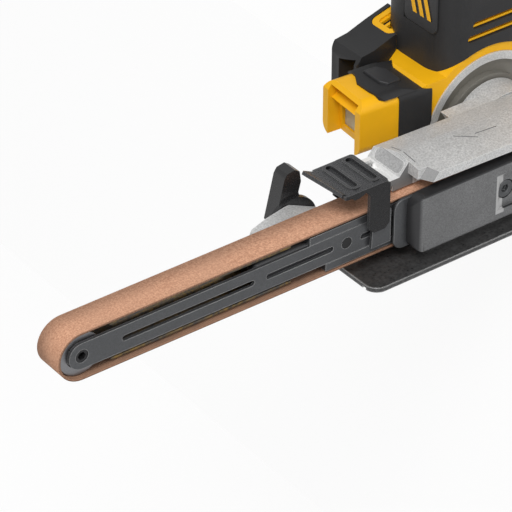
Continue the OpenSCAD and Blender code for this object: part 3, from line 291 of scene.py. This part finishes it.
finishes = {
    "yellow_shell": mouldedPlastic("yellowShell", (0.88, 0.45, 0.006), 0.36, vary=0.04, gloss=0.3),
    "yellow_latch": mouldedPlastic("yellowLatch", (0.88, 0.45, 0.006), 0.33, grain=4200, vary=0.03, gloss=0.3),
    "rubber_black": mouldedPlastic("softGrip", (0.024, 0.024, 0.025), 0.5, grain=2400, depth=0.00005, gloss=0.3),
    "plastic_black": mouldedPlastic("blackPlastic", (0.022, 0.022, 0.023), 0.36, grain=3000, gloss=0.4),
    "plastic_charcoal": mouldedPlastic("charcoalPlastic", (0.035, 0.035, 0.037), 0.42, grain=2600, depth=0.00004),
    # painted shade on the cut corner facet and the step's near side, painted highlight on the step's top
    "cast_alloy": metal("blastedCasting", (0.68, 0.68, 0.675), 0.46, 0.4, 1500, 0.00007, 0.2, (0.9, 0.9, 0.89),
                        0.0007, [(paintedFacetShade, (0.2, 0.2, 0.2)), (paintedStepHighlight, (0.92, 0.92, 0.91)),
                                 (paintedStepShade, (0.24, 0.24, 0.24))], 0.7),
    # painted shade on the cover's sides, painted highlight on the wall of its recess
    "cover_grey": metal("coverPaint", (0.19, 0.192, 0.195), 0.4, 0.5, 2300, 0.00004, 0.26, (0.3, 0.3, 0.3), 0.0005,
                        [(paintedCoverShade, (0.045, 0.045, 0.047)), (paintedRecessHighlight, (0.5, 0.5, 0.5))]),
    "steel_black": metal("phosphatedSteel", (0.1, 0.103, 0.108), 0.38, 0.6, 2300, 0.00002, 0.16,
                         (0.62, 0.62, 0.62), 0.0005, (), 0.6),
    "steel_bright": metal("groundSteel", (0.62, 0.62, 0.62), 0.28, 1.0, 2600, 0.00001, 0.08),
    "steel_dark": metal("oiledSteel", (0.27, 0.27, 0.28), 0.35, 1.0, 2200, 0.00002, 0.12),
    "drive_rubber": mouldedPlastic("drivenTyre", (0.04, 0.04, 0.04), 0.7, grain=900, depth=0.0001),
    "abrasive_cloth": gritCloth(),
    "winding": metal("lacqueredCopper", (0.42, 0.17, 0.06), 0.4, 0.8, 1500, 0.00005, 0.15),
    "lamp_clear": clearLens(),
    "board_green": mouldedPlastic("boardGreen", (0.03, 0.18, 0.07), 0.35),
    "cell_wrap": mouldedPlastic("cellWrap", (0.1, 0.36, 0.42), 0.3),
}
# nodes whose finish differs from their slot's usual one
ownFinish = {
    # ochre flecks on the channel are a painted reflection of the belt's backing
    "arm_channel": paintedReflectionSteel(),
    # painted shade on the collar's inner face
    "gear_case": metal("gearCasting", (0.66, 0.66, 0.65), 0.45, 0.4, 1500, 0.00007, 0.16, (0.85, 0.85, 0.84),
                       0.0006, [(ringShade, (0.24, 0.228, 0.2))], 0.6),
    # painted shade on the lever's near leg
    "tension_lever": metal("blackenedLever", (0.075, 0.076, 0.079), 0.27, 0.4, 2300, 0.00002, 0.14,
                           (0.3, 0.3, 0.3), 0.0004, [(paintedLegShade, (0.012, 0.012, 0.013))], 0.5),
    "tracking_knob": mouldedPlastic("knobPlastic", (0.02, 0.02, 0.021), 0.24, grain=3000, depth=0.00001, gloss=0.7),
    # the deflector's lighter rims are partly wear and partly painted highlight
    "deflector_plate": metal("blackenedSheet", (0.085, 0.085, 0.085), 0.34, 0.5, 900, 0.00003, 0.3,
                             (0.75, 0.75, 0.75), 0.0009, (), 0.8),
    # the rivets are near black: painted shade of a sunk hole
    "arm_rivets": metal("rivetPaintedHoleShade", (0.02, 0.02, 0.021), 0.4, 0.4),
    "tip_axle": metal("oiledAxle", (0.03, 0.03, 0.032), 0.35, 0.6),
}
print("materials made")

# edge radius in metres of each CAD node whose corners show
softenWidth = {
    "arm_plate": 0.00022, "arm_channel": 0.0003, "arm_guide": 0.00035, "arm_rivets": 0.0003, "tip_axle": 0.0003,
    "tip_roller": 0.0004, "tension_lever": 0.0004, "belt_housing": 0.0006, "inner_plate": 0.0003,
    "side_cover": 0.0006, "cover_screw": 0.0003, "deflector_plate": 0.0003, "deflector_screws": 0.0003,
    "tracking_knob": 0.0013, "gear_case": 0.0006, "shell_near": 0.0005, "shell_far": 0.0005,
    "nose_overmould": 0.0005, "badge_plate": 0.0002, "inlet_hood": 0.0006, "inlet_grille": 0.0005,
    "lamp_housing": 0.0013, "lamp_cap": 0.0012, "lamp_button": 0.0004, "trigger": 0.001, "lock_button": 0.0006,
    "grip_overmould": 0.0005, "battery_case": 0.0006, "battery_lid": 0.0006, "battery_latch": 0.0006,
    "lever_pins": 0.0002, "tracking_screw": 0.0003,
}


def finishNode(name):
    node = frame["nodes"][name]
    node.data.materials.clear()
    node.data.materials.append(ownFinish.get(name) or finishes[slotOf[name]])
    for face in node.data.polygons:
        face.use_smooth = True
    softenSolid(node, name)


solidEdges = {"weld": 0.000004, "flatAngle": 0.4, "bevelAngle": 32, "wideEdge": 0.0009}


# joins the loose triangles, rounds the edges and smooths what is round
def softenSolid(node, name):
    weld = node.modifiers.new("weld", "WELD")
    weld.merge_threshold = solidEdges["weld"]
    flat = node.modifiers.new("flat", "DECIMATE")
    flat.decimate_type = "DISSOLVE"
    flat.angle_limit = math.radians(solidEdges["flatAngle"])
    if name in softenWidth:
        bevel = node.modifiers.new("edges", "BEVEL")
        bevel.width = softenWidth[name]
        bevel.segments = 3 if softenWidth[name] > solidEdges["wideEdge"] else 2
        bevel.limit_method = "ANGLE"
        bevel.angle_limit = math.radians(solidEdges["bevelAngle"])
        bevel.harden_normals = False
    normals = node.modifiers.new("normals", "WEIGHTED_NORMAL")
    normals.keep_sharp = True


for name in frame["nodes"]:
    finishNode(name)
print("CAD nodes finished")


# a finished piece from a bmesh, with its place already in the mesh
def newPiece(name, bm, body, materials, smooth=True):
    mesh = bpy.data.meshes.new(name)
    bmesh.ops.recalc_face_normals(bm, faces=bm.faces)
    bm.to_mesh(mesh)
    bm.free()
    for mat in materials:
        mesh.materials.append(mat)
    mesh.polygons.foreach_set("use_smooth", [smooth] * len(mesh.polygons))
    piece = bpy.data.objects.new(name, mesh)
    scene.collection.objects.link(piece)
    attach(piece, body)
    return piece


# ---- abrasive belt: grit outside, brown cloth inside
belt = {"tipRadius": 9.42, "rearRadius": 9.92, "axleDistance": 200.0, "width": 12.64, "thickness": 0.84,
        "steps": 48}


def makeBelt():
    tipR, rearR, dist = (belt[k] / 1000 for k in ("tipRadius", "rearRadius", "axleDistance"))
    lean = math.asin((rearR - tipR) / dist)
    tipAxle, rearAxle = mm(-belt["axleDistance"], 0, 0), mm(0, 0, 0)

    def touch(axle, radius, side):
        return axle + Vector((-math.sin(lean), 0, side * math.cos(lean))) * radius

    bm = bmesh.new()
    across = Vector((0, belt["width"] / 2000, 0))
    start = touch(tipAxle, tipR, -1)
    ends = [bm.verts.new(start - across), bm.verts.new(start + across)]
    geom = [*ends, bm.edges.new(ends)]
    for axle, angle, goal in ((tipAxle, math.pi - 2 * lean, touch(rearAxle, rearR, 1)),
                              (rearAxle, math.pi + 2 * lean, start)):
        geom = bmesh.ops.spin(bm, geom=geom, cent=axle, axis=(0, 1, 0), angle=angle,
                              steps=belt["steps"])["geom_last"]
        last = [g for g in geom if isinstance(g, bmesh.types.BMEdge)]
        run = bmesh.ops.extrude_edge_only(bm, edges=last)["geom"]
        moved = [g for g in run if isinstance(g, bmesh.types.BMVert)]
        middle = sum((v.co for v in moved), Vector()) / 2
        bmesh.ops.translate(bm, verts=moved, vec=goal - middle)
        geom = moved + [g for g in run if isinstance(g, bmesh.types.BMEdge) and set(g.verts) == set(moved)]
    bmesh.ops.remove_doubles(bm, verts=bm.verts, dist=0.00001)
    piece = newPiece("sandingBelt", bm, bodyOf["abrasive_belt"],
                     [finishes["abrasive_cloth"], backingCloth(), cutEdge()])
    wall = piece.modifiers.new("thickness", "SOLIDIFY")
    wall.thickness = belt["thickness"] / 1000
    wall.offset = -1
    wall.use_even_offset = True
    wall.material_offset = 1
    wall.material_offset_rim = 2
    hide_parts("abrasive_belt")


def backingCloth():
    mat, tree, shader = startMaterial("backingCloth", (0.30, 0.16, 0.095), 0.8)
    where = addNode(tree, "ShaderNodeTexCoord")
    threads = []
    for direction in ("X", "Y"):
        wave = addNode(tree, "ShaderNodeTexWave", {"Scale": 420.0, "Distortion": 1.5, "Detail": 1.0},
                       bands_direction=direction)
        tree.links.new(where.outputs["Object"], wave.inputs["Vector"])
        threads.append(wave.outputs["Fac"])
    both = addNode(tree, "ShaderNodeMath", operation="MULTIPLY")
    for k in (0, 1):
        tree.links.new(threads[k], both.inputs[k])
    localTone = objectNoise(tree, 120, 4.0)
    tone = mixColors(tree, both.outputs[0], (0.21, 0.11, 0.065), (0.38, 0.22, 0.135))
    tree.links.new(mixColors(tree, remap(tree, localTone.outputs[0], 0.4, 0.65, 0, 0.6), tone, (0.17, 0.095, 0.06)),
                   shader.inputs["Base Color"])
    addBump(tree, shader, both.outputs[0], 0.00008)
    return mat


def cutEdge():
    mat, tree, shader = startMaterial("beltCutEdge", (0.22, 0.10, 0.055), 0.9)
    fray = objectNoise(tree, 2600, 4.0, 0.7)
    tree.links.new(mixColors(tree, remap(tree, fray.outputs[0], 0.35, 0.65, 0, 1), (0.16, 0.07, 0.04),
                             (0.42, 0.24, 0.15)), shader.inputs["Base Color"])
    addBump(tree, shader, fray.outputs[0], 0.0001)
    return mat


makeBelt()
print("belt made")


# a flat rounded rectangle between two corners of a plane, as one face
def roundedFace(bm, low, high, radius, place, steps=5):
    known = set(bm.verts)
    a, b, r = (Vector((low[0], low[1], 0)) / 1000, Vector((high[0], high[1], 0)) / 1000, radius / 1000)
    corners = ((b.x - r, b.y - r, 0), (a.x + r, b.y - r, 90), (a.x + r, a.y + r, 180), (b.x - r, a.y + r, 270))
    for x, y, turn in corners:
        start = Vector((x, y, 0)) + Matrix.Rotation(math.radians(turn), 3, "Z") @ Vector((r, 0, 0))
        bmesh.ops.spin(bm, geom=[bm.verts.new(start)], cent=(x, y, 0), axis=(0, 0, 1), angle=math.pi / 2,
                       steps=steps)
    ring = [v for v in bm.verts if v not in known]
    centre = (a + b) / 2
    ring.sort(key=lambda v: math.atan2(v.co.y - centre.y, v.co.x - centre.x))
    bmesh.ops.delete(bm, geom=list({e for v in ring for e in v.link_edges}), context="EDGES_FACES")
    ring = [v for v in ring if v.is_valid]
    face = bm.faces.new(ring)
    bmesh.ops.transform(bm, matrix=place, verts=ring)
    return [face]


# turns a face into a slab by moving a copy of it
def slab(bm, faces, offset):
    grown = bmesh.ops.extrude_face_region(bm, geom=faces)["geom"]
    bmesh.ops.translate(bm, vec=offset, verts=[g for g in grown if isinstance(g, bmesh.types.BMVert)])


def softEdges(piece, width):
    bevel = piece.modifiers.new("edges", "BEVEL")
    bevel.width = width
    bevel.segments = 2
    bevel.limit_method = "ANGLE"
    bevel.angle_limit = math.radians(30)
    normals = piece.modifiers.new("normals", "WEIGHTED_NORMAL")
    normals.keep_sharp = True


# ---- pressed pans that close the lever's two grip slots
pans = {"slots": (-86.9, -78.3), "nearEnd": -6.62, "farEnd": 9.22, "width": 3.04, "top": 21.35, "depth": 0.85,
        "rim": 0.5, "dish": 0.4}


def makePans():
    bm = bmesh.new()
    for x in pans["slots"]:
        half = pans["width"] / 2
        place = Matrix.Translation(mm(x, 0, pans["top"]))
        faces = roundedFace(bm, (-half, pans["nearEnd"]), (half, pans["farEnd"]), half - 0.05, place, 8)
        dished = bmesh.ops.inset_region(bm, faces=faces, thickness=pans["rim"] / 1000,
                                        depth=-pans["dish"] / 1000)["faces"]
        slab(bm, faces + dished, Vector((0, 0, -pans["depth"] / 1000)))
    piece = newPiece("leverPans", bm, "lever", [ownFinish["tension_lever"]], smooth=False)
    softEdges(piece, 0.00012)


makePans()

# ---- plain slanted bars on the badge, in the shell's yellow
badgeBars = {"middle": (40.7, 50.0), "pitch": 4.0, "low": -5.0, "high": 5.0, "lean": 3.2, "thick": 2.1,
             "face": -21.32, "proud": 0.12}


def makeBadgeBars():
    bm = bmesh.new()
    y, z = badgeBars["middle"]
    for k in (-1, 0, 1):
        made = bmesh.ops.create_cube(bm, size=0.001)["verts"]
        bmesh.ops.scale(bm, vec=(badgeBars["proud"], badgeBars["thick"], badgeBars["high"] - badgeBars["low"]),
                        verts=made)
        for v in made:
            v.co.y += badgeBars["lean"] / 1000 * (0.5 if v.co.z > 0 else -0.5)
        bmesh.ops.translate(bm, vec=mm(badgeBars["face"], y + k * badgeBars["pitch"], z), verts=made)
    piece = newPiece("badgeBars", bm, "body", [finishes["yellow_shell"]], smooth=False)
    softEdges(piece, 0.00004)


makeBadgeBars()

# ---- yellow fins that show in the lower half of each vent slot
fins = {"heights": (36.8, 42.0), "firstX": -10.6, "shift": 0.4, "lastX": 14.2, "drop": 0.62, "thick": 1.05,
        "faces": ((27.35, 30.4), (66.2, 69.25))}


def makeFins():
    bm = bmesh.new()
    for z in fins["heights"]:
        for near, far in fins["faces"]:
            x0 = fins["firstX"] + (z - fins["heights"][0]) * fins["shift"]
            made = bmesh.ops.create_cube(bm, size=0.001)["verts"]
            bmesh.ops.scale(bm, vec=(fins["lastX"] - x0, far - near, fins["thick"]), verts=made)
            bmesh.ops.translate(bm, vec=mm((x0 + fins["lastX"]) / 2, (near + far) / 2, z - fins["drop"]), verts=made)
    piece = newPiece("ventFins", bm, "body", [finishes["yellow_shell"]], smooth=False)
    softEdges(piece, 0.0003)


makeFins()


# a bmesh of a CAD node with other solids cut out of it
def carve(name, cutters):
    work = bpy.data.objects.new("carving", bpy.data.meshes.new("carving"))
    source = bmesh.new()
    source.from_mesh(frame["nodes"][name].data)
    bmesh.ops.remove_doubles(source, verts=source.verts, dist=solidEdges["weld"])
    source.to_mesh(work.data)
    source.free()
    tools = []
    for cutter in cutters:
        tool = bpy.data.objects.new("cutter", bpy.data.meshes.new("cutter"))
        bmesh.ops.recalc_face_normals(cutter, faces=cutter.faces)
        cutter.to_mesh(tool.data)
        cutter.free()
        cut = work.modifiers.new("cut", "BOOLEAN")
        cut.object = tool
        cut.operation = "DIFFERENCE"
        cut.solver = "EXACT"
        tools.append(tool)
    for obj in (work, *tools):
        scene.collection.objects.link(obj)
    carved = bmesh.new()
    carved.from_object(work, bpy.context.evaluated_depsgraph_get())
    for obj in (work, *tools):
        bpy.data.meshes.remove(obj.data)
    bmesh.ops.remove_doubles(carved, verts=carved.verts, dist=0.000002)
    return carved


# ---- casting, with the panel sunk in the slope behind the lever
housing = {"slopeFoot": (-64.8, 15.6), "slopeAngle": 50.1, "panelY": (-2.2, 12.4), "panelUp": (0.5, 5.3),
           "panelRound": 1.7, "panelDepth": 0.5, "cutterHeight": 4.0}


def makeHousing():
    x, z = housing["slopeFoot"]
    tilt = math.radians(housing["slopeAngle"])
    up = Vector((math.cos(tilt), 0, math.sin(tilt)))
    out = Vector((-math.sin(tilt), 0, math.cos(tilt)))
    turn = Matrix((Vector((0, -1, 0)), up, out)).transposed().to_4x4()
    place = Matrix.Translation(mm(x, 0, z) - out * housing["panelDepth"] / 1000) @ turn
    low, high = housing["panelY"]
    cutter = bmesh.new()
    faces = roundedFace(cutter, (-high, housing["panelUp"][0]), (-low, housing["panelUp"][1]),
                        housing["panelRound"], place)
    slab(cutter, faces, out * housing["cutterHeight"] / 1000)
    piece = newPiece("castHousing", carve("belt_housing", [cutter]), "head",
                     [finishes["cast_alloy"], sunkPanel()])
    for face in piece.data.polygons:
        away = (face.center - mm(x, 0, z)).dot(out)
        if face.normal.dot(out) > 0.99 and -0.0007 < away < -0.0003:
            face.material_index = 1
    softenSolid(piece, "belt_housing")
    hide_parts("belt_housing")


def sunkPanel():
    return metal("sunkPanel", (0.5, 0.5, 0.5), 0.5, 0.35, 1500, 0.00007, 0.22)


makeHousing()

# ---- engraved half arrow on the casting's top, drawn as thin dark strips on the surface whose dark colour is the painted shade of the grooves
engraving = {"strokes": (((-37.7, 0.5), (-30.3, -4.2)), ((-29.9, -2.1), (-20.6, -2.5)),
                         ((-58.9, 8.6), (-58.9, -4.6))), "width": 0.34, "height": 0.03,
             "thick": 0.05}


def makeArrow():
    solid = bmesh.new()
    solid.from_mesh(frame["nodes"]["belt_housing"].data)
    top = BVHTree.FromBMesh(solid)
    solid.free()
    bm = bmesh.new()
    for (x0, y0), (x1, y1) in engraving["strokes"]:
        made = bmesh.ops.create_grid(bm, x_segments=8, y_segments=1, size=0.5)["verts"]
        length = math.hypot(x1 - x0, y1 - y0)
        bmesh.ops.scale(bm, vec=(length / 1000, engraving["width"] / 1000, 1), verts=made)
        bmesh.ops.rotate(bm, matrix=Matrix.Rotation(math.atan2(y1 - y0, x1 - x0), 3, "Z"), verts=made)
        bmesh.ops.translate(bm, vec=mm((x0 + x1) / 2, (y0 + y1) / 2, 40), verts=made)
        for v in made:
            v.co.z = top.ray_cast(v.co, Vector((0, 0, -1)))[0].z + engraving["height"] / 1000
    piece = newPiece("roofArrow", bm, "head", [paintedGrooveShade()], smooth=False)
    sheet = piece.modifiers.new("thickness", "SOLIDIFY")
    sheet.thickness = engraving["thick"] / 1000
    sheet.offset = -1


def paintedGrooveShade():
    mat, tree, shader = startMaterial("engravedLinePaintedShade", (0.12, 0.12, 0.12), 0.7)
    fine = objectNoise(tree, 3000, 2.0)
    tree.links.new(mixColors(tree, remap(tree, fine.outputs[0], 0.3, 0.7, 0, 1), (0.08, 0.08, 0.08),
                             (0.2, 0.2, 0.2)), shader.inputs["Base Color"])
    return mat


makeArrow()
print("small pieces made")

# ---- stage
stage = {"floorSize": 6.0, "floorTone": 0.55, "skyStrength": 0.5, "keyPower": 16.0, "fillPower": 2.0,
         "glossyFloor": 0.55, "floorGlow": 1.08, "glowShare": 0.84, "benchEdge": 0.011, "benchSlope": 0.03,
         "benchDrop": 0.185, "lampTarget": (-0.05, 0, 0.05), "keyPlace": (-0.7, -0.65, 1.25), "keySize": 0.7,
         "fillPlace": (0.5, -1.3, 0.6), "fillSize": 0.9}


def makeFloor():
    bm = bmesh.new()
    bmesh.ops.create_grid(bm, x_segments=1, y_segments=1, size=stage["floorSize"] / 2)
    # the bench ends under the tower, so that the head can turn down past it
    edge, foot = stage["benchEdge"], stage["benchEdge"] - stage["benchSlope"]
    for cut in (edge, foot):
        bmesh.ops.bisect_plane(bm, geom=bm.verts[:] + bm.edges[:] + bm.faces[:], plane_co=(cut, 0, 0),
                               plane_no=(1, 0, 0))
    sunk = [v for v in bm.verts if v.co.x < foot + 0.001]
    bmesh.ops.translate(bm, verts=sunk, vec=(0, 0, -stage["benchDrop"]))
    mesh = bpy.data.meshes.new("floor")
    bm.to_mesh(mesh)
    bm.free()
    floor = bpy.data.objects.new("floor", mesh)
    scene.collection.objects.link(floor)
    mat, tree, shader = startMaterial("floorPaper", (stage["floorTone"],) * 3, 0.9)
    shader.inputs["Specular IOR Level"].default_value = 0.0
    glow = addNode(tree, "ShaderNodeEmission", {"Strength": stage["floorGlow"]})
    rays = addNode(tree, "ShaderNodeLightPath")
    mixed = addNode(tree, "ShaderNodeMixShader")
    either = addNode(tree, "ShaderNodeMath", operation="ADD", use_clamp=True)
    scaled = addNode(tree, "ShaderNodeMath", {1: stage["glowShare"]}, operation="MULTIPLY")
    dimmed = addNode(tree, "ShaderNodeMath", {1: stage["glossyFloor"]}, operation="MULTIPLY")
    tree.links.new(rays.outputs["Is Camera Ray"], either.inputs[0])
    tree.links.new(rays.outputs["Is Glossy Ray"], dimmed.inputs[0])
    tree.links.new(dimmed.outputs[0], either.inputs[1])
    tree.links.new(either.outputs[0], scaled.inputs[0])
    tree.links.new(scaled.outputs[0], mixed.inputs[0])
    tree.links.new(shader.outputs[0], mixed.inputs[1])
    tree.links.new(glow.outputs[0], mixed.inputs[2])
    tree.links.new(mixed.outputs[0], tree.nodes["Material Output"].inputs["Surface"])
    mesh.materials.append(mat)


def makeWorld():
    world = bpy.data.worlds.new("studio")
    scene.world = world
    world.use_nodes = True
    tree = world.node_tree
    sky = tree.nodes["Background"]
    sky.inputs["Color"].default_value = (1, 1, 1, 1)
    rays = addNode(tree, "ShaderNodeLightPath")
    shown = addNode(tree, "ShaderNodeMath", operation="ADD", use_clamp=True)
    tree.links.new(rays.outputs["Is Camera Ray"], shown.inputs[0])
    tree.links.new(rays.outputs["Is Transmission Ray"], shown.inputs[1])
    tree.links.new(remap(tree, shown.outputs[0], 0, 1, stage["skyStrength"], 1.0), sky.inputs["Strength"])


def makeLamp(name, place, size, power):
    data = bpy.data.lights.new(name, "AREA")
    data.shape = "DISK"
    data.size = size
    data.energy = power
    lamp = bpy.data.objects.new(name, data)
    scene.collection.objects.link(lamp)
    lamp.location = place
    lamp.rotation_mode = "QUATERNION"
    lamp.rotation_quaternion = (Vector(stage["lampTarget"]) - Vector(place)).to_track_quat("-Z", "Y")


view = {"azimuth": -36.71, "elevation": 34.57, "lens": 224.69, "distance": 1.0855,
        "target": (-0.121075, -0.0344, 0.0353)}


def makeCamera():
    target = Vector(view["target"])
    a, e = math.radians(view["azimuth"]), math.radians(view["elevation"])
    back = Vector((math.sin(a) * math.cos(e), -math.cos(a) * math.cos(e), math.sin(e)))
    data = bpy.data.cameras.new("camera")
    data.sensor_width = 36.0
    data.lens = view["lens"]
    data.clip_start, data.clip_end = 0.01, 50
    camera = bpy.data.objects.new("camera", data)
    scene.collection.objects.link(camera)
    camera.location = target + back * view["distance"]
    camera.rotation_mode = "QUATERNION"
    camera.rotation_quaternion = (-back).to_track_quat("-Z", "Y")
    scene.camera = camera


makeFloor()
makeWorld()
makeLamp("keyLamp", stage["keyPlace"], stage["keySize"], stage["keyPower"])
makeLamp("fillLamp", stage["fillPlace"], stage["fillSize"], stage["fillPower"])
makeCamera()
scene.view_settings.view_transform = "Standard"
print("stage and camera set")
